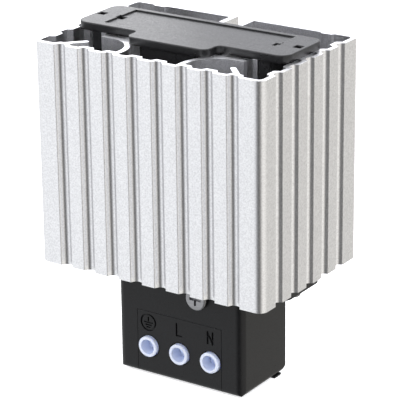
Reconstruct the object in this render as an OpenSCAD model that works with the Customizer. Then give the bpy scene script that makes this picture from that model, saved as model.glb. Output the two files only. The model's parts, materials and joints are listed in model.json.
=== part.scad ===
// Enclosure heater for a 35 mm mounting rail: a corrugated aluminium profile with
// air channels and a heating stack in its core, a cover on top and a terminal box below.
// Millimetres, +Z up. The origin is on the underside of the terminal box, below the
// middle of the profile. The front, with the wire entries, faces -Y.

/* [Profile] */
// Width of the extruded profile
profile_w = 93; // [84:1:110]
// Depth of the extruded profile
profile_d = 63; // [58:1:70]
// Height of the extruded profile
profile_h = 81; // [60:1:140]
// Wall thickness of the corrugated walls
wall = 1.6; // [1.4:0.1:2.4]
// Thickness of the flat rear wall
rear_wall = 2.5; // [2:0.1:3.5]
// Radius of the outer corners
corner_r = 3.3; // [1:0.1:4]
// Distance between the corrugation grooves
pitch = 10; // [9.5:0.1:11]
// Width of a groove at its mouth
groove_mouth = 4.7; // [4:0.1:5.5]
// Width of a groove at its floor, before the floor is rounded
groove_floor = 2.3; // [1:0.1:2.6]
// Depth of a groove
groove_depth = 2; // [1.5:0.1:3]
// How far the side grooves sit towards the front
side_shift = 1; // [0:0.1:2]
// Thickness of the inner webs
web = 2; // [1.4:0.1:2.4]
// Outer radius of the two arched webs
arch_r = 13.2; // [11:0.1:14]
// Distance from the middle to each arch centre
arch_x = 25; // [24.5:0.1:26]
// Length of the short fins that start at the outer front grooves
fin_l = 7.4; // [4:0.1:8]
// Radius of the screw channels
channel_r = 2.7; // [2.4:0.1:2.8]

/* [Heating core] */
// Outer width of the heating core
core_w = 63.8; // [62:0.2:65]
// Distance from the middle to the face of the front web
core_front = 15.3; // [14:0.1:16]
// Distance from the middle to the front of the heating slot
slot_front = 2; // [1.5:0.1:2.5]
// Width of the heating slot from front to rear
slot_d = 12; // [11:0.1:13]
// Gap between the front web and the side ribs
rib_gap = 0.8; // [0.5:0.1:1.2]
// Thickness of each electrode plate
electrode_t = 1; // [0.6:0.1:1.4]
// Width of each electrode plate
electrode_w = 48; // [44:1:52]
// Thickness of each ceramic heating stone
stone_t = 2.5; // [2:0.1:3]
// Thickness of the insulating wrap
wrap_t = 0.4; // [0.3:0.05:0.6]

/* [Top cover] */
// Thickness of the cover plate
cover_t = 2.8; // [2:0.1:4]
// Distance from the ends of the profile to the ends of the cover
cover_inset = 3.5; // [1:0.1:4.5]
// Width of the cover from front to rear
cover_d = 24.4; // [23:0.1:26]
// Corner radius of the cover
cover_r = 4; // [2:0.1:5]
// Half width of the tongue at the front of the cover
tongue_x = 16.4; // [15:0.1:18]
// Length of the tongue
tongue_l = 7.4; // [6.5:0.1:8.4]
// Depth of the bare label field
label_deep = 0.5; // [0.3:0.1:0.8]
// Width of the label field
label_w = 66; // [56:1:70]
// Length of the cover's legs inside the profile
leg_l = 14; // [8:0.5:24]

/* [Terminal box] */
// Height from the underside to the profile
box_h = 44; // [42:0.5:55]
// Width of the box
box_w = 53; // [48:0.2:56]
// Distance from the middle to the front of the box
box_front = 13.2; // [12.8:0.1:14]
// Depth of the box
box_d = 29.6; // [29:0.1:34]
// Wall thickness of the box
box_wall = 2; // [1.6:0.1:2.2]
// Radius of the front corners of the box
box_r = 2.8; // [2:0.1:4]
// Radius of the lower front edges of the box
box_edge_r = 2; // [1:0.1:2.5]
// Thickness of the flange under the profile
flange_t = 3.7; // [3:0.1:5]
// Height of the box edge above the underside of its cover
lip_drop = 0.6; // [0.4:0.1:1.6]
// Rim of the marked front panel beside the outer wire entries
panel_rim = 0.4; // [0.3:0.1:1.5]
// Height of the top of the front panel
panel_top = 25.2; // [24.5:0.1:27]

/* [Terminals] */
// Distance between the wire entries
entry_pitch = 13.2; // [12.8:0.1:13.6]
// Height of the wire entries
entry_z = 11.6; // [11:0.1:12.5]
// Outer diameter of the wire sleeves
sleeve_od = 7.8; // [7:0.1:8.2]
// Diameter of the wire bore
sleeve_bore = 5.5; // [4.5:0.1:5.8]
// How far the sleeves stand out of the panel
sleeve_out = 1.2; // [0.5:0.1:2.5]
// Depth of the engraved marks
mark_deep = 0.6; // [0.2:0.1:0.8]
// Place of the front screw to the right of the middle
screw_x = 8.3; // [7.4:0.1:8.6]
// Distance of the front screw below the profile
screw_drop = 8.9; // [8.6:0.1:10]

/* [Rail clip] */
// Width of the mounting rail
rail_w = 35; // [30:0.5:40]
// Thickness of the rail's edges
rail_t = 1; // [1:0.5:1.5]
// Width of the clip along the rail
clip_w = 32; // [26:1:40]
// Thickness of the clip's spring steel
clip_t = 1.2; // [1:0.1:1.5]

/* [Fasteners] */
// Diameter of the screws
screw_d = 3; // [2.6:0.1:3]
// Diameter of the small screw heads
head_d = 5.6; // [5:0.1:6]
// Height of the screw heads
head_h = 2; // [1.6:0.1:2.4]
// Diameter of the front screw's head
front_head_d = 8.4; // [7:0.1:8.6]
// Gap between pieces that slide into each other
fit = 0.15; // [0.1:0.05:0.2]

/* [Hidden] */
$fn = 64;
// Overlap of joined pieces, and how far a cut runs past a face
eps = 0.01;
over = 1;
top_z = box_h + profile_h;
half_w = profile_w/2;
half_d = profile_d/2;
hole_d = screw_d + 2*fit;

// Corrugation: counts, how far the inner surface is shifted by the wall, and the round
// floor of a groove, a little wider than a circle that only touches the flanks
front_count = floor((profile_w - pitch)/pitch);
side_count = floor((profile_d - pitch)/pitch);
outer_groove_x = (front_count - 1)*pitch/2;
flank_angle = atan2(groove_depth, (groove_mouth - groove_floor)/2);
inner_shift = wall*tan(flank_angle/2);
floor_ease = 1.05;
groove_r = floor_ease*groove_floor/2/tan(flank_angle/2);
flank_r = groove_floor/2*sin(flank_angle) + groove_r*cos(flank_angle);
round_x = flank_r*sin(flank_angle);
round_y = groove_depth - groove_r + flank_r*cos(flank_angle);
front_inner = -half_d + wall;
inner_r_least = 0.3;
inner_r = max(corner_r - wall, inner_r_least);
rear_inner = half_d - rear_wall;

// Arched webs, core and screw channels
arch_y = -core_front + web - arch_r;
core_x = core_w/2;
slot_x = core_x - web;
slot_y0 = -slot_front;
slot_y1 = slot_y0 + slot_d;
front_web_x = slot_x - rib_gap;
rib_step = 1.8;
rib_front = -core_front + web + rib_step;
earth_x = 19.5;
earth_y = slot_y0 - web - channel_r;
boss_share = 0.2;
earth_boss_r = channel_r + boss_share*web;
channel_in = 3.6;
end_channel_x = half_w - wall - groove_depth - channel_in;
rear_web_x = 5;
rear_slot_x = rear_web_x - web;
fin_x = outer_groove_x;
fin_root = 0.6;
fin_y = front_inner + groove_depth - fin_root;
fin_turn = 43;

// Heating stack, from the front of the slot to its rear
stack_gap = 2;
stack_z0 = box_h + stack_gap;
stack_h = profile_h - 2*stack_gap;
wrap_y0 = slot_y0;
live_y0 = wrap_y0 + wrap_t;
stone_y0 = live_y0 + electrode_t;
neutral_y0 = stone_y0 + stone_t;
wrap_y1 = neutral_y0 + electrode_t + wrap_t;
wedge_mid = (wrap_y1 + slot_y1)/2;
wedge_slope = 0.8;
electrode_x = electrode_w/2;
electrode_inset = 2;
electrode_z0 = stack_z0 + electrode_inset;
electrode_h = stack_h - 2*electrode_inset;
stone_rows = 3;
stone_cols = 2;
stone_gap = 1.5;
stone_margin = 2;
stone_w = (electrode_w - 2*stone_margin - (stone_cols - 1)*stone_gap)/stone_cols;
stone_h = (electrode_h - 2*stone_margin - (stone_rows - 1)*stone_gap)/stone_rows;
tab_w = 6;
tab_drop = 7;
tab_z0 = box_h - tab_drop;

// Cover and flange share one outline
plate_x = half_w - cover_inset;
plate_mid = 1;
plate_y0 = plate_mid - cover_d/2;
plate_y1 = plate_mid + cover_d/2;
tongue_y = plate_y0 - tongue_l;
tongue_round = 2.8;
tongue_fillet = 2.2;
label_front = 3.2;
label_rear = 2.2;
label_y0 = plate_y0 + label_front;
label_y1 = plate_y1 - label_rear;
window = 3;
window_end = 2.7;
window_out = 0.3;
window_xs = [plate_x - window_end, core_x + window_out];
leg_x0 = core_x + fit;
leg_x1 = end_channel_x - channel_r - 2*fit;
leg_front = 0.1;
leg_rear = 0.25;
leg_y0 = plate_y0 + leg_front*cover_r;
leg_y1 = plate_y1 - leg_rear*cover_r;
skirt_gap = 0.6;
skirt_x = arch_x - arch_r - skirt_gap;
skirt_back = 0.8;
skirt_y0 = tongue_y + skirt_back;
skirt_y1 = -core_front - 2*fit;
skirt_t = 2;
skirt_l = 12;

// Terminal box
box_x = box_w/2;
box_y0 = -box_front;
box_y1 = box_y0 + box_d;
box_rear_r = 1;
chamfer_z = 3.5;
chamfer_y = 3.9;
chamfer_slope = chamfer_z/chamfer_y;
lip_w = 4.6;
lip_y1 = box_y1 - chamfer_y + lip_drop/chamfer_slope;
lip_y0 = lip_y1 - lip_w;
base_inset = 3.6;
base_plug = 1.8;
cavity_x = box_x - box_wall;
cavity_y0 = box_y0 + box_wall;
cavity_y1 = box_y1 - box_wall;
front_screw_z = box_h - screw_drop;

// Screws: grip in the piece behind, and the crossed slots of the heads
grip_l = 9;
clip_grip = 2;
flange_head_less = 0.6;
flange_head_d = head_d - flange_head_less;
head_round = 0.7;
recess_share = 0.56;
recess_w = 0.9;
recess_deep = 1;

// Marks above the wire entries
mark_up = 9.2;
mark_h = 4.4;
mark_line = 0.65;
letter_share = 0.24;
letter_x = letter_share*mark_h;
earth_ring_r = 3.4;
earth_line = 0.55;
earth_stem = 1.9;
earth_bar = 1.6;
earth_taper = 0.5;
earth_step = 0.9;

// Terminal block and its metal parts, with the panel wide enough for all entries
entry_xs = [-entry_pitch, 0, entry_pitch];
panel_gap = 0.35;
panel_hole_d = sleeve_od + 2*panel_gap;
panel_w = 2*entry_pitch + panel_hole_d + 2*(panel_rim + fit);
block_x = panel_w/2 - 2*fit;
block_y0 = cavity_y0;
block_d = 12.7;
block_y1 = block_y0 + block_d;
block_z0 = lip_drop + base_plug + fit;
block_front_t = 3;
pocket_w = 9.2;
pocket_floor = 2.3;
pocket_z = block_z0 + pocket_floor;
ear_rim = 0.5;
ear_w = front_head_d + 2*ear_rim;
ear_d = 6.2;
ear_y1 = block_y0 + ear_d;
pocket_y0 = block_y0 + block_front_t;
ear_top = front_screw_z + ear_w/2;
sleeve_short = 0.2;
sleeve_in = box_wall + block_front_t - sleeve_short;
sleeve_floor = 0.9;
sleeve_round = 0.5;
mouth_round = 0.25;
block_hole_d = sleeve_od + 2*fit;
cage_w = 6.4;
cage_t = 0.8;
cage_d = 6.8;
cage_h = 12;
cage_y0 = pocket_y0 + 2*fit;
bar_w = 4.4;
bar_t = 1.2;
bar_gap = 0.4;
bar_y = cage_y0 + cage_d + bar_gap + bar_t/2;
bar_end = 0.5;
bar_y0 = cage_y0 + bar_end;
bar_rise = 0.8;
bar_top = panel_top + bar_rise;
bar_z1 = pocket_z + cage_h - cage_t;
plug_x = 3.6;
plug_y = 1.7;
plug_h = 6.5;
plug_end = 1.2;
wire_r = 1.2;
live_tab_y = live_y0 + electrode_t/2;
neutral_tab_y = neutral_y0 + electrode_t/2;
lug_t = 0.8;
lug_r = 3.2;
lug_tail = 6.5;
lug_y = earth_y + lug_tail;
lug_barrel = 5;
barrel_t = 0.6;
barrel_r = wire_r + barrel_t;
wire_end = 2;
wire_z = box_h - lug_t - lug_barrel - wire_end;

// Rail clip, centred on the height of the profile
rail_z = box_h + profile_h/2;
clip_slack = 0.2;
clip_lip_y = clip_t + rail_t + 2*clip_slack;
clip_out = clip_lip_y + clip_t;
hook_top = 2.5;
hook_low = 1.6;
clip_half = rail_w/2 + clip_slack + clip_t;
tail_out = 3;
clip_screw_x = 10;

// A rectangle from two corners
module rect(x0, y0, x1, y1) {
    translate([x0, y0]) square([x1 - x0, y1 - y0]);
}

// A rectangle from two corners with round corners
module round_rect(x0, y0, x1, y1, r) {
    rect(x0 + r, y0, x1 - r, y1);
    rect(x0, y0 + r, x1, y1 - r);
    for (x = [x0 + r, x1 - r], y = [y0 + r, y1 - r]) translate([x, y]) circle(r);
}

// A box from two corners
module block(a, b) {
    translate(a) cube(b - a);
}

// A cylinder between two points
module rod(a, b, r) {
    d = b - a;
    l = norm(d);
    translate(a) rotate([0, acos(d[2]/l), atan2(d[1], d[0])]) cylinder(r = r, h = l);
}

// One groove with a round floor, cut inwards along +Y from the wall's outer face at y = 0
module groove() {
    m = groove_mouth/2 + over/tan(flank_angle);
    polygon([[-m, -over], [m, -over], [round_x, round_y], [-round_x, round_y]]);
    translate([0, groove_depth - groove_r]) circle(groove_r);
}

// The inside of the wall where it follows a groove
module groove_back(face) {
    m = groove_mouth/2 + inner_shift;
    f = groove_floor/2 + inner_shift;
    slope = (m - f)/groove_depth;
    low = face - wall;
    polygon([[-m - slope*(wall - low), low], [m + slope*(wall - low), low],
             [f, groove_depth + wall], [-f, groove_depth + wall]]);
}

// Puts a child at every groove, turned so that +Y points into the profile
module at_grooves() {
    for (i = [0 : front_count - 1])
        translate([(i - (front_count - 1)/2)*pitch, -half_d]) children();
    for (i = [0 : side_count - 1], s = [-1, 1])
        translate([s*half_w, (i - (side_count - 1)/2)*pitch - side_shift]) rotate(s*90) children();
    for (s = [-1, 1])
        translate([s*outer_groove_x, half_d]) rotate(180) children();
}

module outer_outline() {
    difference() {
        round_rect(-half_w, -half_d, half_w, half_d, corner_r);
        at_grooves() groove();
    }
}

module inner_outline() {
    difference() {
        round_rect(-half_w + wall, front_inner, half_w - wall, rear_inner, inner_r);
        at_grooves() groove_back(wall - eps);
    }
}

// Half of the inner webs, on the side of +X
module half_webs() {
    intersection() {
        translate([arch_x, arch_y]) difference() {
            circle(arch_r);
            circle(arch_r - web);
        }
        rect(arch_x - arch_r, arch_y, arch_x, arch_y + arch_r);
    }
    rect(arch_x - arch_r, -half_d + wall/2, arch_x - arch_r + web, arch_y);
    rect(0, -core_front, front_web_x, -core_front + web);
    rect(slot_x, rib_front, core_x, slot_y1 + web);
    rect(0, slot_y0 - web, core_x, slot_y0);
    rect(0, slot_y1, core_x, slot_y1 + web);
    rect(earth_x - web/2, -core_front + web/2, earth_x + web/2, slot_y0 - web/2);
    translate([earth_x, earth_y]) circle(earth_boss_r);
    translate([end_channel_x, 0]) circle(channel_r);
    rect(end_channel_x, -channel_r, half_w - wall/2, channel_r);
    rect(rear_slot_x, slot_y1 + web/2, rear_web_x, half_d - rear_wall/2);
    translate([fin_x, fin_y]) rotate(90 + fin_turn) {
        rect(0, -web/2, fin_l, web/2);
        translate([fin_l, 0]) circle(web/2);
    }
}

module channel_holes() {
    for (s = [-1, 1]) {
        translate([s*earth_x, earth_y]) circle(d = hole_d);
        translate([s*end_channel_x, 0]) circle(d = hole_d);
    }
}

// The extruded body: one length of aluminium profile, slotted at the rear and drilled for the clip
module heatsink_profile() {
    color("silver") difference() {
        translate([0, 0, box_h]) linear_extrude(profile_h) difference() {
            union() {
                difference() {
                    outer_outline();
                    inner_outline();
                }
                intersection() {
                    outer_outline();
                    union() {
                        half_webs();
                        mirror([1, 0]) half_webs();
                    }
                }
            }
            channel_holes();
            rect(-rear_slot_x, rear_inner - over, rear_slot_x, half_d + over);
        }
        for (s = [-1, 1])
            rod([s*clip_screw_x, rear_inner - over, rail_z],
                [s*clip_screw_x, half_d + over, rail_z], hole_d/2);
    }
}

module plate_outline() {
    round_rect(-plate_x, plate_y0, plate_x, plate_y1, cover_r);
}

// The tongue at the front of the cover, with round corners and a fillet on each side
module tongue_outline() {
    round_rect(-tongue_x, tongue_y, tongue_x, plate_y0 + 2*tongue_round, tongue_round);
    for (s = [-1, 1]) difference() {
        translate([s*(tongue_x + tongue_fillet/2), plate_y0 - tongue_fillet/2])
            square(tongue_fillet, center = true);
        translate([s*(tongue_x + tongue_fillet), plate_y0 - tongue_fillet]) circle(tongue_fillet);
    }
}

// Moulded cover: plate with tongue, bare label field, square windows, legs and a skirt
module top_cover() {
    color("#2b2b2d") {
        difference() {
            translate([0, 0, top_z]) linear_extrude(cover_t) union() {
                plate_outline();
                tongue_outline();
            }
            translate([0, 0, top_z + cover_t - label_deep]) linear_extrude(cover_t)
                rect(-label_w/2, label_y0, label_w/2, label_y1);
            for (s = [-1, 1], x = window_xs)
                translate([s*x, plate_mid, top_z]) cube([window, window, 4*cover_t], center = true);
        }
        for (s = [-1, 1])
            translate([0, 0, top_z - leg_l]) linear_extrude(leg_l)
                rect(min(s*leg_x0, s*leg_x1), leg_y0, max(s*leg_x0, s*leg_x1), leg_y1);
        translate([0, 0, top_z - skirt_l]) linear_extrude(skirt_l) difference() {
            rect(-skirt_x, skirt_y0, skirt_x, skirt_y1);
            rect(-skirt_x + skirt_t, skirt_y0 + skirt_t, skirt_x - skirt_t, plate_y0);
        }
    }
}

// Outer form of the box: plan, side and front outlines crossed
module box_form() {
    far = 2*box_d;
    intersection() {
        translate([0, 0, lip_drop]) linear_extrude(box_h - lip_drop) union() {
            round_rect(-box_x, box_y0, box_x, box_y1, box_r);
            round_rect(-box_x, 0, box_x, box_y1, box_rear_r);
        }
        rotate([90, 0, 90]) translate([0, 0, -far]) linear_extrude(2*far) difference() {
            union() {
                round_rect(box_y0, lip_drop, box_y1, box_h + far, box_edge_r);
                rect(0, lip_drop, box_y1, box_h);
            }
            polygon([[lip_y1, lip_drop], [box_y1, chamfer_z], [far, chamfer_z], [far, 0], [lip_y1, 0]]);
        }
        rotate([90, 0, 0]) translate([0, 0, -far]) linear_extrude(2*far)
            round_rect(-box_x, lip_drop, box_x, box_h + far, box_edge_r);
    }
}

module terminal_housing() {
    color("#262628") difference() {
        union() {
            box_form();
            translate([0, 0, box_h - flange_t]) linear_extrude(flange_t) plate_outline();
        }
        block([-cavity_x, cavity_y0, 0], [cavity_x, cavity_y1, box_h + over]);
        block([-panel_w/2, box_y0 - over, 0], [panel_w/2, cavity_y0 + over, panel_top]);
        rod([screw_x, box_y0 - over, front_screw_z], [screw_x, cavity_y0 + over, front_screw_z], hole_d/2);
        for (s = [-1, 1])
            translate([s*end_channel_x, 0, 0]) cylinder(d = hole_d, h = box_h + over);
    }
}

// Standard terminal marks as plain strokes, read from the front
module stroke(a, b, w) {
    d = b - a;
    translate(a) rotate(atan2(d[1], d[0])) translate([-w/2, -w/2]) square([norm(d) + w, w]);
}

// Earth: a ring round a stem and three bars, each shorter than the one above
module mark_earth() {
    difference() {
        circle(earth_ring_r);
        circle(earth_ring_r - mark_line);
    }
    stroke([0, earth_stem], [0, 0], earth_line);
    for (i = [0 : 2]) {
        reach = earth_bar - i*earth_taper;
        stroke([-reach, -i*earth_step], [reach, -i*earth_step], earth_line);
    }
}

module mark_live() {
    stroke([-letter_x, mark_h/2], [-letter_x, -mark_h/2], mark_line);
    stroke([-letter_x, -mark_h/2], [letter_x, -mark_h/2], mark_line);
}

module mark_neutral() {
    for (x = [-letter_x, letter_x]) stroke([x, mark_h/2], [x, -mark_h/2], mark_line);
    stroke([-letter_x, mark_h/2], [letter_x, -mark_h/2], mark_line);
}

// Flush panel with the three wire entries and their engraved marks
module front_panel() {
    color("#262628") difference() {
        intersection() {
            box_form();
            block([-panel_w/2 + fit, box_y0 - over, 0], [panel_w/2 - fit, cavity_y0, panel_top - fit]);
        }
        for (x = entry_xs)
            rod([x, box_y0 - over, entry_z], [x, cavity_y0 + over, entry_z], panel_hole_d/2);
        translate([0, box_y0 + mark_deep, entry_z + mark_up]) rotate([90, 0, 0])
            linear_extrude(mark_deep + over) {
                translate([entry_xs[0], 0]) mark_earth();
                translate([entry_xs[1], 0]) mark_live();
                translate([entry_xs[2], 0]) mark_neutral();
            }
    }
}

// Closing plate of the box: a plug inside the walls and a gripping lip at the rear
module base_cover() {
    color("#262628") {
        block([-cavity_x + fit, cavity_y0 + fit, lip_drop],
              [cavity_x - fit, lip_y1 - box_wall, lip_drop + base_plug]);
        block([-box_x + base_inset, box_y0 + base_inset, 0],
              [box_x - base_inset, lip_y0 + eps, lip_drop + eps]);
        rotate([90, 0, 90]) translate([0, 0, -box_x + fit]) linear_extrude(box_w - 2*fit)
            polygon([[lip_y0, 0], [lip_y1 - lip_drop/chamfer_slope, 0],
                     [lip_y1, lip_drop], [lip_y0, lip_drop]]);
    }
}

// Insulating block behind the panel, with three pockets and an ear for the front screw
module terminal_block() {
    color("#343436") difference() {
        union() {
            block([-block_x, block_y0, block_z0], [block_x, block_y1, panel_top - fit]);
            block([screw_x - ear_w/2, block_y0, block_z0], [screw_x + ear_w/2, ear_y1, ear_top]);
        }
        for (x = entry_xs) {
            block([x - pocket_w/2, pocket_y0, pocket_z], [x + pocket_w/2, block_y1 + over, ear_top + over]);
            rod([x, block_y0 - over, entry_z], [x, pocket_y0 + over, entry_z], block_hole_d/2);
        }
        rod([screw_x, block_y0 - over, front_screw_z], [screw_x, ear_y1 + over, front_screw_z], hole_d/2);
    }
}

// A pan head screw that points along +Z, its head below z = 0
module screw(head, high, long) {
    rotate_extrude() difference() {
        union() {
            rect(0, -high, head/2, 0);
            rect(0, -eps, screw_d/2, long);
        }
        difference() {
            rect(head/2 - head_round, -high - over, head/2 + over, -high + head_round);
            translate([head/2 - head_round, -high + head_round]) circle(head_round);
        }
    }
}

// Two crossed slots for a screwdriver in the face of a screw head
module cross_recess(head, high) {
    for (a = [0, 90]) rotate(a) translate([0, 0, -high])
        cube([recess_share*head, recess_w, 2*recess_deep], center = true);
}

module block_screw() {
    color("gainsboro") translate([screw_x, box_y0, front_screw_z]) rotate([-90, 0, 0]) difference() {
        screw(front_head_d, head_h, box_wall + ear_d - over);
        cross_recess(front_head_d, head_h);
    }
}

// White entry sleeve: a cup with a thin floor that the wire is pushed through
module sleeve(x) {
    long = sleeve_out + sleeve_in;
    bore_r = sleeve_bore/2;
    color("ghostwhite") translate([x, box_y0 - sleeve_out, entry_z]) rotate([-90, 0, 0])
        rotate_extrude() difference() {
            rect(0, 0, sleeve_od/2, long);
            rect(0, -over, bore_r, long - sleeve_floor);
            difference() {
                rect(sleeve_od/2 - sleeve_round, -over, sleeve_od/2 + over, sleeve_round);
                translate([sleeve_od/2 - sleeve_round, sleeve_round]) circle(sleeve_round);
            }
            difference() {
                rect(0, -over, bore_r + mouth_round, mouth_round);
                translate([bore_r + mouth_round, mouth_round]) circle(mouth_round);
            }
        }
}

module sleeve_earth() { sleeve(entry_xs[0]); }
module sleeve_live() { sleeve(entry_xs[1]); }
module sleeve_neutral() { sleeve(entry_xs[2]); }

// Spring cage that presses the wire against the bar
module clamp(x) {
    color("lightsteelblue") difference() {
        block([x - cage_w/2, cage_y0, pocket_z], [x + cage_w/2, cage_y0 + cage_d, pocket_z + cage_h]);
        block([x - cage_w/2 + cage_t, cage_y0 - over, pocket_z + cage_t],
              [x + cage_w/2 - cage_t, cage_y0 + cage_d + over, pocket_z + cage_h - cage_t]);
    }
}

module clamp_earth() { clamp(entry_xs[0]); }
module clamp_live() { clamp(entry_xs[1]); }
module clamp_neutral() { clamp(entry_xs[2]); }

// Bent current bar: one leg inside the cage, the other up to the lead
module bar(x) {
    color("goldenrod") {
        block([x - bar_w/2, bar_y0, bar_z1 - bar_t], [x + bar_w/2, bar_y + bar_t/2, bar_z1]);
        block([x - bar_w/2, bar_y - bar_t/2, bar_z1 - bar_t], [x + bar_w/2, bar_y + bar_t/2, bar_top]);
    }
}

module bar_earth() { bar(entry_xs[0]); }
module bar_live() { bar(entry_xs[1]); }
module bar_neutral() { bar(entry_xs[2]); }

// Ceramic heating stones between the two electrodes
module heating_stones() {
    color("dimgray") for (i = [0 : stone_cols - 1], k = [0 : stone_rows - 1])
        translate([-electrode_x + stone_margin + i*(stone_w + stone_gap), stone_y0,
                   electrode_z0 + stone_margin + k*(stone_h + stone_gap)])
            cube([stone_w, stone_t, stone_h]);
}

// Electrode plate with a tab that reaches down into the terminal box
module electrode(y0, tab_x) {
    color("gold") {
        block([-electrode_x, y0, electrode_z0],
              [electrode_x, y0 + electrode_t, electrode_z0 + electrode_h]);
        block([tab_x - tab_w/2, y0, tab_z0], [tab_x + tab_w/2, y0 + electrode_t, electrode_z0 + over]);
    }
}

module electrode_live() { electrode(live_y0, entry_xs[1]); }
module electrode_neutral() { electrode(neutral_y0, entry_xs[2]); }

// Insulating film wrapped round the electrodes
module insulating_wrap() {
    inner_x = electrode_x + fit;
    color("peru") difference() {
        block([-inner_x - wrap_t, wrap_y0, stack_z0], [inner_x + wrap_t, wrap_y1, stack_z0 + stack_h]);
        block([-inner_x, live_y0, stack_z0 - over], [inner_x, wrap_y1 - wrap_t, stack_z0 + stack_h + over]);
    }
}

// Pair of wedges that press the stack against the front of the slot
module front_wedge() {
    color("lightgray") rotate([90, 0, 90]) translate([0, 0, -electrode_x]) linear_extrude(electrode_w)
        polygon([[wrap_y1, stack_z0], [wedge_mid - wedge_slope, stack_z0],
                 [wedge_mid + wedge_slope, stack_z0 + stack_h], [wrap_y1, stack_z0 + stack_h]]);
}

module rear_wedge() {
    color("darkgray") rotate([90, 0, 90]) translate([0, 0, -electrode_x]) linear_extrude(electrode_w)
        polygon([[wedge_mid - wedge_slope, stack_z0], [slot_y1, stack_z0],
                 [slot_y1, stack_z0 + stack_h], [wedge_mid + wedge_slope, stack_z0 + stack_h]]);
}

// Push-on connector with a slot for a tab that comes from above or below
module connector(x, y, z0, tab_half, tab_thick, up) {
    half_x = tab_half + fit;
    half_y = tab_thick/2 + fit;
    slot_z0 = up ? z0 + plug_end : z0 - over;
    slot_z1 = up ? z0 + plug_h + over : z0 + plug_h - plug_end;
    difference() {
        block([x - plug_x, y - plug_y, z0], [x + plug_x, y + plug_y, z0 + plug_h]);
        block([x - half_x, y - half_y, slot_z0], [x + half_x, y + half_y, slot_z1]);
    }
}

// Lead from a terminal bar up to an electrode tab
module lead(x, tab_y) {
    low_z0 = bar_top + plug_end + fit - plug_h;
    high_z0 = tab_z0 - plug_end - fit;
    connector(x, bar_y, low_z0, bar_w/2, bar_t, false);
    connector(x, tab_y, high_z0, tab_w/2, electrode_t, true);
    rod([x, bar_y, low_z0 + plug_h - plug_end/2], [x, tab_y, high_z0 + plug_end/2], wire_r);
}

module lead_live() { color("saddlebrown") lead(entry_xs[1], live_tab_y); }
module lead_neutral() { color("royalblue") lead(entry_xs[2], neutral_tab_y); }

// Earth lead from its bar to a collar below the barrel of the ring lug
module lead_earth() {
    low_z0 = bar_top + plug_end + fit - plug_h;
    color("yellowgreen") {
        connector(entry_xs[0], bar_y, low_z0, bar_w/2, bar_t, false);
        rod([entry_xs[0], bar_y, low_z0 + plug_h - plug_end/2],
            [-earth_x, lug_y, wire_z], wire_r);
        translate([-earth_x, lug_y, wire_z - wire_r]) cylinder(r = barrel_r, h = wire_end + wire_r);
    }
}

// Ring lug screwed to the profile, its barrel bent down
module earth_lug() {
    z0 = box_h - lug_t;
    color("lightgray") difference() {
        union() {
            translate([-earth_x, earth_y, z0]) cylinder(r = lug_r, h = lug_t);
            block([-earth_x - barrel_r, earth_y, z0], [-earth_x + barrel_r, lug_y + wire_r, box_h]);
            translate([-earth_x, lug_y, z0 - lug_barrel]) cylinder(r = barrel_r, h = lug_barrel + lug_t/2);
        }
        translate([-earth_x, earth_y, z0 - over]) cylinder(d = hole_d, h = lug_t + 2*over);
    }
}

module earth_screw() {
    color("gainsboro") translate([-earth_x, earth_y, box_h - lug_t]) difference() {
        screw(head_d, head_h, grip_l);
        cross_recess(head_d, head_h);
    }
}

// Two screws that hold the housing's flange to the profile
module flange_screws() {
    color("gainsboro") for (s = [-1, 1])
        translate([s*end_channel_x, 0, box_h - flange_t]) difference() {
            screw(flange_head_d, head_h, flange_t + grip_l);
            cross_recess(flange_head_d, head_h);
        }
}

// Spring steel clip for the rail: base plate, upper hook, lower hook with a guide tail
module rail_clip() {
    color("gainsboro") difference() {
        translate([-clip_w/2, half_d, rail_z]) rotate([90, 0, 90]) linear_extrude(clip_w)
            polygon([[0, -clip_half], [clip_lip_y, -clip_half],
                     [clip_lip_y + tail_out, -clip_half - tail_out],
                     [clip_out + tail_out, clip_t - clip_half - tail_out],
                     [clip_out, clip_t - clip_half], [clip_out, hook_low - rail_w/2],
                     [clip_lip_y, hook_low - rail_w/2], [clip_lip_y, clip_t - clip_half],
                     [clip_t, clip_t - clip_half], [clip_t, clip_half - clip_t],
                     [clip_lip_y, clip_half - clip_t], [clip_lip_y, rail_w/2 - hook_top],
                     [clip_out, rail_w/2 - hook_top], [clip_out, clip_half], [0, clip_half]]);
        for (s = [-1, 1])
            rod([s*clip_screw_x, half_d - over, rail_z],
                [s*clip_screw_x, half_d + clip_t + over, rail_z], hole_d/2);
    }
}

module clip_screws() {
    color("gainsboro") for (s = [-1, 1])
        translate([s*clip_screw_x, half_d + clip_t, rail_z]) rotate([90, 0, 0]) difference() {
            screw(head_d, head_h, clip_t + rear_wall + clip_grip);
            cross_recess(head_d, head_h);
        }
}

heatsink_profile();
top_cover();
terminal_housing();
front_panel();
base_cover();
terminal_block();
block_screw();
sleeve_earth();
sleeve_live();
sleeve_neutral();
clamp_earth();
clamp_live();
clamp_neutral();
bar_earth();
bar_live();
bar_neutral();
heating_stones();
electrode_live();
electrode_neutral();
insulating_wrap();
front_wedge();
rear_wedge();
lead_earth();
lead_live();
lead_neutral();
earth_lug();
earth_screw();
flange_screws();
rail_clip();
clip_screws();
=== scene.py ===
"""Looks of the enclosure heater: procedural finishes, studio light and the photo's camera."""
import json
import math

import bpy
from mathutils import Matrix, Vector


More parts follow.
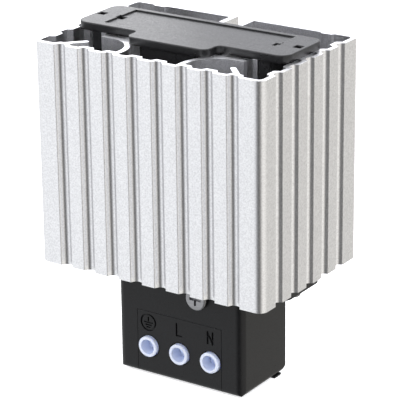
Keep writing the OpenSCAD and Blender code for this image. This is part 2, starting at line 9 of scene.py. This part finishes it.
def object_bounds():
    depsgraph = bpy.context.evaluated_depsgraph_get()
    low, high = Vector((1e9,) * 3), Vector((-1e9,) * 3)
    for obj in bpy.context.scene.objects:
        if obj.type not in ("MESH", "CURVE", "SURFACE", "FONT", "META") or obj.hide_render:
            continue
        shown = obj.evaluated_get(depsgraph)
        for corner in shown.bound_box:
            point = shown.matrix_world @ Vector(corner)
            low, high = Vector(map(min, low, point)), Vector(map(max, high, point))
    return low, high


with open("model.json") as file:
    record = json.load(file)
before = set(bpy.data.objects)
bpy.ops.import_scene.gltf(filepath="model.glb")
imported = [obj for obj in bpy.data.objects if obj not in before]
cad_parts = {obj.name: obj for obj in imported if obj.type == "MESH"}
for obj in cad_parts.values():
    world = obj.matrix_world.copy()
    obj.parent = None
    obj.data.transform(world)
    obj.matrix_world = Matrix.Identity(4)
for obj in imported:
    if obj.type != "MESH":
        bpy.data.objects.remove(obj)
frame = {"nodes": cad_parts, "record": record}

cad_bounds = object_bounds()

MM = 0.001
nodes = frame["nodes"]
slot_of = {part["node"]: part["material_slot"] for part in frame["record"]["subparts"]}
low, high = cad_bounds
middle = (low + high) / 2


class Finish:
    """A procedural material: a principled shader with a few texture helpers."""

    def __init__(self, name, roughness, metallic=0.0):
        self.material = bpy.data.materials.new(name)
        self.material.use_nodes = True
        self.tree = self.material.node_tree
        self.shader = self.tree.nodes["Principled BSDF"]
        self.shader.inputs["Roughness"].default_value = roughness
        self.shader.inputs["Metallic"].default_value = metallic
        self.coords = self.tree.nodes.new("ShaderNodeTexCoord")

    def link(self, source, target):
        self.tree.links.new(source, target)

    def noise(self, grain, stretch=(1, 1, 1), detail=2.0):
        """Noise whose grains are about that many metres wide, stretched along the axes."""
        mapping = self.tree.nodes.new("ShaderNodeMapping")
        mapping.inputs["Scale"].default_value = [1 / (grain * s) for s in stretch]
        self.link(self.coords.outputs["Object"], mapping.inputs["Vector"])
        texture = self.tree.nodes.new("ShaderNodeTexNoise")
        texture.inputs["Scale"].default_value = 1.0
        texture.inputs["Detail"].default_value = detail
        self.link(mapping.outputs["Vector"], texture.inputs["Vector"])
        return texture.outputs["Fac"]

    def ramp(self, value, stops):
        """A colour ramp from (place, colour) stops."""
        node = self.tree.nodes.new("ShaderNodeValToRGB")
        elements = node.color_ramp.elements
        while len(elements) < len(stops):
            elements.new(1.0)
        for element, (place, colour) in zip(elements, stops):
            element.position = place
            element.color = (*colour, 1.0)
        self.link(value, node.inputs["Fac"])
        return node.outputs["Color"]

    def mix(self, factor, first, second):
        node = self.tree.nodes.new("ShaderNodeMix")
        node.data_type = "RGBA"
        self.link(factor, node.inputs["Factor"])
        self.link(first, node.inputs["A"])
        self.link(second, node.inputs["B"])
        return node.outputs["Result"]

    def soft_edge(self, radius):
        """The surface's normal with edges rounded to that radius."""
        bevel = self.tree.nodes.new("ShaderNodeBevel")
        bevel.samples = 6
        bevel.inputs["Radius"].default_value = radius
        return bevel.outputs["Normal"]

    def upright_edge(self, radius):
        """The same for upright edges alone, so that walls stay upright up to their rims."""
        flat = self.tree.nodes.new("ShaderNodeVectorMath")
        flat.operation = "MULTIPLY"
        flat.inputs[1].default_value = (1.0, 1.0, 0.0)
        self.link(self.soft_edge(radius), flat.inputs[0])
        unit = self.tree.nodes.new("ShaderNodeVectorMath")
        unit.operation = "NORMALIZE"
        self.link(flat.outputs["Vector"], unit.inputs[0])
        return unit.outputs["Vector"]

    def shelter(self, distance):
        """0 deep inside a hole, 1 out in the open."""
        node = self.tree.nodes.new("ShaderNodeAmbientOcclusion")
        node.samples = 8
        node.inputs["Distance"].default_value = distance
        return node.outputs["AO"]

    def bump(self, height, depth, strength, normal):
        """Relief from a height value on top of a normal."""
        node = self.tree.nodes.new("ShaderNodeBump")
        node.inputs["Strength"].default_value = strength
        node.inputs["Distance"].default_value = depth
        self.link(height, node.inputs["Height"])
        self.link(normal, node.inputs["Normal"])
        self.link(node.outputs["Normal"], self.shader.inputs["Normal"])

    def facing_up(self, start, stop):
        """0 on walls, 1 on faces that look up or down."""
        geometry = self.tree.nodes.new("ShaderNodeNewGeometry")
        split = self.tree.nodes.new("ShaderNodeSeparateXYZ")
        self.link(geometry.outputs["True Normal"], split.inputs["Vector"])
        size = self.tree.nodes.new("ShaderNodeMath")
        size.operation = "ABSOLUTE"
        self.link(split.outputs["Z"], size.inputs[0])
        spread = self.tree.nodes.new("ShaderNodeMapRange")
        spread.inputs["From Min"].default_value = start
        spread.inputs["From Max"].default_value = stop
        self.link(size.outputs["Value"], spread.inputs["Value"])
        return spread.outputs["Result"]

    def uneven_gloss(self, value, smooth, rough):
        """Roughness that follows a texture."""
        spread = self.tree.nodes.new("ShaderNodeMapRange")
        spread.inputs["From Min"].default_value = 0.3
        spread.inputs["From Max"].default_value = 0.7
        spread.inputs["To Min"].default_value = smooth
        spread.inputs["To Max"].default_value = rough
        self.link(value, spread.inputs["Value"])
        self.link(spread.outputs["Result"], self.shader.inputs["Roughness"])

    def paint(self, colour):
        self.link(colour, self.shader.inputs["Base Color"])
        return self


def shades(colour, spread):
    """Two stops round a colour, for a slightly uneven surface."""
    dark = [c * (1 - spread) for c in colour]
    light = [min(1.0, c * (1 + spread)) for c in colour]
    return [(0.3, dark), (0.7, light)]


def profile_aluminium():
    """Blasted, clear anodised aluminium with faint die lines and brighter sawn ends; painted light makes
    its colour lighter inside the chambers, where shade falls.
    """
    finish = Finish("profile_aluminium", roughness=0.3, metallic=1.0)
    grain = finish.noise(0.55 * MM, detail=3)
    lines = finish.noise(0.8 * MM, stretch=(1, 1, 60), detail=1)
    wall = finish.mix(lines, finish.ramp(grain, shades((0.80, 0.80, 0.82), 0.14)),
                      finish.ramp(grain, shades((0.84, 0.84, 0.85), 0.12)))
    sawn = finish.ramp(finish.noise(0.5 * MM, stretch=(8, 1, 1)), shades((0.93, 0.93, 0.94), 0.04))
    ends = finish.facing_up(0.8, 0.95)
    edges = finish.mix(ends, finish.upright_edge(0.55 * MM), finish.soft_edge(0.12 * MM))
    finish.bump(grain, 0.03 * MM, 0.7, edges)
    # Painted light: sheltered chambers and hollows get a lighter colour, picked out by the occlusion mask,
    # where shade falls
    inside = finish.ramp(grain, shades((0.97, 0.97, 0.97), 0.10))
    outside = finish.ramp(finish.shelter(14 * MM), [(0.35, (0, 0, 0)), (0.65, (1, 1, 1))])
    return finish.paint(finish.mix(ends, finish.mix(outside, inside, wall), sawn))


def rolled_metal(name, colour, roughness, grain=0.6):
    """Rolled or drawn metal with fine lines along X."""
    finish = Finish(name, roughness=roughness, metallic=1.0)
    lines = finish.noise(grain * MM, stretch=(20, 1, 1))
    finish.bump(lines, 0.02 * MM, 0.4, finish.soft_edge(0.2 * MM))
    return finish.paint(finish.ramp(lines, shades(colour, 0.12)))


def moulded_plastic(name, colour, roughness, grain, relief, gloss=0.5, edge=0.35):
    """Moulded plastic with an eroded surface; its edges are sharper inside recesses."""
    finish = Finish(name, roughness=roughness)
    finish.shader.inputs["Specular IOR Level"].default_value = gloss
    texture = finish.noise(grain * MM, detail=3)
    outside = finish.ramp(finish.shelter(2 * MM), [(0.75, (0, 0, 0)), (0.92, (1, 1, 1))])
    edges = finish.mix(outside, finish.soft_edge(0.1 * MM), finish.soft_edge(edge * MM))
    finish.bump(texture, relief * MM, 0.6, edges)
    finish.uneven_gloss(texture, 0.75 * roughness, 1.3 * roughness)
    return finish.paint(finish.ramp(texture, shades(colour, 0.22)))


def white_plastic():
    """Smooth milky plastic that lets a little light through; where it is sheltered, as in the wire holes,
    its colour is a painted bluish light.
    """
    finish = Finish("white_plastic", roughness=0.28)
    finish.shader.inputs["Subsurface Weight"].default_value = 0.35
    finish.shader.inputs["Subsurface Radius"].default_value = (0.9 * MM, 1.0 * MM, 1.3 * MM)
    finish.shader.inputs["Subsurface Scale"].default_value = 1.0
    cloud = finish.noise(2.5 * MM)
    finish.bump(cloud, 0.02 * MM, 0.3, finish.soft_edge(0.15 * MM))
    open_side = finish.ramp(cloud, shades((0.50, 0.53, 0.60), 0.03))
    # Painted light: sheltered places, the wire holes and the foot of each sleeve, get a lighter, bluish
    # colour where shade falls
    bore_painted_light = finish.ramp(cloud, shades((0.62, 0.70, 0.92), 0.05))
    return finish.paint(finish.mix(finish.shelter(5 * MM), bore_painted_light, open_side))


def sintered_ceramic():
    finish = Finish("heating_ceramic", roughness=0.7)
    grain = finish.noise(0.4 * MM, detail=4)
    finish.bump(grain, 0.05 * MM, 1.0, finish.soft_edge(0.1 * MM))
    return finish.paint(finish.ramp(grain, shades((0.2, 0.2, 0.21), 0.2)))


finishes = {
    "profile_aluminium": profile_aluminium(),
    "plain_aluminium": rolled_metal("plain_aluminium", (0.72, 0.73, 0.74), 0.35),
    "black_plastic": moulded_plastic("black_plastic", (0.004, 0.004, 0.0045), 0.36, 0.5, 0.04, gloss=0.29),
    "dark_insulator": moulded_plastic("dark_insulator", (0.06, 0.06, 0.065), 0.5, 0.5, 0.04),
    "white_plastic": white_plastic(),
    "plated_steel": rolled_metal("plated_steel", (0.31, 0.31, 0.32), 0.34, grain=0.3),
    "spring_steel": rolled_metal("spring_steel", (0.6, 0.61, 0.62), 0.28),
    "brass": rolled_metal("brass", (0.78, 0.62, 0.3), 0.3),
    "heating_ceramic": sintered_ceramic(),
    "amber_film": moulded_plastic("amber_film", (0.62, 0.32, 0.06), 0.25, 4.0, 0.01),
    "green_insulation": moulded_plastic("green_insulation", (0.32, 0.55, 0.1), 0.35, 1.5, 0.01),
    "brown_insulation": moulded_plastic("brown_insulation", (0.24, 0.12, 0.06), 0.35, 1.5, 0.01),
    "blue_insulation": moulded_plastic("blue_insulation", (0.1, 0.2, 0.55), 0.35, 1.5, 0.01),
}

# The cover is moulded a little glossier and with rounder edges than the box
finish_of = {name: finishes[slot_of[name]] for name in nodes}
finish_of["top_cover"] = moulded_plastic("cover_plastic", (0.007, 0.007, 0.0075), 0.34, 0.5, 0.05,
                                         gloss=0.44, edge=0.8)

for name, piece in nodes.items():
    piece.data.materials.clear()
    piece.data.materials.append(finish_of[name].material)


def place_at(azimuth, elevation, distance):
    """A point round the object; azimuth 0 is in front of it and 90 to its right."""
    a, e = math.radians(azimuth), math.radians(elevation)
    out = Vector((math.sin(a) * math.cos(e), -math.cos(a) * math.cos(e), math.sin(e)))
    return middle + distance * out


def softbox(name, azimuth, elevation, distance, width, height, radiance):
    """A rectangular area lamp that faces the object."""
    lamp = bpy.data.lights.new(name, "AREA")
    lamp.shape = "RECTANGLE"
    lamp.size = width
    lamp.size_y = height
    lamp.energy = radiance * math.pi * width * height
    holder = bpy.data.objects.new(name, lamp)
    holder.location = place_at(azimuth, elevation, distance)
    holder.rotation_euler = (middle - holder.location).to_track_quat("-Z", "Y").to_euler()
    bpy.context.scene.collection.objects.link(holder)


softbox("key_light", -40, 42, 0.8, 0.5, 0.5, 2.0)
softbox("rear_light", -128, 24, 0.3, 0.16, 0.16, 1.2)


def white_floor():
    """A pale floor that the camera sees as white, with the object's shadow on it."""
    half = 6.0
    mesh = bpy.data.meshes.new("floor")
    corners = [(-half, -half, 0), (half, -half, 0), (half, half, 0), (-half, half, 0)]
    mesh.from_pydata(corners, [], [(0, 1, 2, 3)])
    floor = bpy.data.objects.new("floor", mesh)
    floor.location.z = low.z
    floor.visible_glossy = False
    bpy.context.scene.collection.objects.link(floor)
    finish = Finish("floor", roughness=0.9)
    finish.paint(finish.ramp(finish.noise(0.2), shades((0.84, 0.84, 0.84), 0.01)))
    glow = finish.tree.nodes.new("ShaderNodeEmission")
    glow.inputs["Color"].default_value = (1.0, 1.0, 1.0, 1.0)
    glow.inputs["Strength"].default_value = 0.55
    both = finish.tree.nodes.new("ShaderNodeAddShader")
    finish.link(finish.shader.outputs["BSDF"], both.inputs[0])
    finish.link(glow.outputs["Emission"], both.inputs[1])
    path = finish.tree.nodes.new("ShaderNodeLightPath")
    choice = finish.tree.nodes.new("ShaderNodeMixShader")
    finish.link(path.outputs["Is Camera Ray"], choice.inputs["Fac"])
    finish.link(finish.shader.outputs["BSDF"], choice.inputs[1])
    finish.link(both.outputs["Shader"], choice.inputs[2])
    finish.link(choice.outputs["Shader"], finish.tree.nodes["Material Output"].inputs["Surface"])
    mesh.materials.append(finish.material)


white_floor()

# Studio round the object: azimuth in degrees (0 in front, 90 to the right) and brightness
WALLS = [(-180, 1.0), (-110, 0.95), (-40, 1.08), (-14, 0.9), (6, 0.25), (28, 0.08), (48, 0.3),
         (64, 0.95), (85, 1.0), (145, 0.68), (180, 1.0)]
COOL = (0.97, 0.985, 1.0)
WARM = (1.0, 0.98, 0.93)
CEILING = (2.2, 2.22, 2.34)
UNDERSIDE = 0.8


def studio_world():
    """Pale walls with a dark gap where the photographer stands, a bright ceiling, a dark underside."""
    world = bpy.data.worlds.new("studio")
    bpy.context.scene.world = world
    world.use_nodes = True
    tree = world.node_tree
    coords = tree.nodes.new("ShaderNodeTexCoord")
    split = tree.nodes.new("ShaderNodeSeparateXYZ")
    tree.links.new(coords.outputs["Generated"], split.inputs["Vector"])
    front = tree.nodes.new("ShaderNodeMath")
    front.operation = "MULTIPLY"
    front.inputs[1].default_value = -1.0
    tree.links.new(split.outputs["Y"], front.inputs[0])
    azimuth = tree.nodes.new("ShaderNodeMath")
    azimuth.operation = "ARCTAN2"
    tree.links.new(split.outputs["X"], azimuth.inputs[0])
    tree.links.new(front.outputs["Value"], azimuth.inputs[1])
    turn = tree.nodes.new("ShaderNodeMapRange")
    turn.inputs["From Min"].default_value = -math.pi
    turn.inputs["From Max"].default_value = math.pi
    tree.links.new(azimuth.outputs["Value"], turn.inputs["Value"])
    walls = tree.nodes.new("ShaderNodeValToRGB")
    walls.color_ramp.interpolation = "EASE"
    elements = walls.color_ramp.elements
    while len(elements) < len(WALLS):
        elements.new(1.0)
    for element, (degrees, level) in zip(elements, WALLS):
        tint = COOL if degrees < 20 else WARM
        element.position = (degrees + 180) / 360
        element.color = (*[level * t for t in tint], 1.0)
    tree.links.new(turn.outputs["Result"], walls.inputs["Fac"])
    height = tree.nodes.new("ShaderNodeMapRange")
    height.interpolation_type = "SMOOTHSTEP"
    height.inputs["From Min"].default_value = 0.05
    height.inputs["From Max"].default_value = 0.45
    tree.links.new(split.outputs["Z"], height.inputs["Value"])
    both = tree.nodes.new("ShaderNodeMix")
    both.data_type = "RGBA"
    both.inputs["B"].default_value = (*CEILING, 1.0)
    tree.links.new(height.outputs["Result"], both.inputs["Factor"])
    tree.links.new(walls.outputs["Color"], both.inputs["A"])
    below = tree.nodes.new("ShaderNodeMapRange")
    below.interpolation_type = "SMOOTHSTEP"
    below.inputs["From Min"].default_value = -0.85
    below.inputs["From Max"].default_value = -0.55
    below.inputs["To Min"].default_value = UNDERSIDE
    tree.links.new(split.outputs["Z"], below.inputs["Value"])
    background = tree.nodes["Background"]
    tree.links.new(both.outputs["Result"], background.inputs["Color"])
    tree.links.new(below.outputs["Result"], background.inputs["Strength"])


studio_world()

CAMERA_PLACE = Vector((399.74, -592.46, 329.53)) * MM
CAMERA_AZIMUTH = math.radians(33.961)
CAMERA_ELEVATION = math.radians(20.247)
CAMERA_ROLL = math.radians(-0.687)
CAMERA_LENS = 194.82

lens = bpy.data.cameras.new("camera")
lens.lens = CAMERA_LENS
lens.sensor_width = 36.0
lens.clip_start = 0.01
lens.clip_end = 50.0
camera = bpy.data.objects.new("camera", lens)
turn = Matrix.Rotation(CAMERA_AZIMUTH, 3, "Z") @ Matrix.Rotation(math.pi / 2 - CAMERA_ELEVATION, 3, "X")
camera.rotation_euler = (turn @ Matrix.Rotation(CAMERA_ROLL, 3, "Z")).to_euler()
camera.location = CAMERA_PLACE
bpy.context.scene.collection.objects.link(camera)
bpy.context.scene.camera = camera
bpy.context.scene.view_settings.view_transform = "Standard"
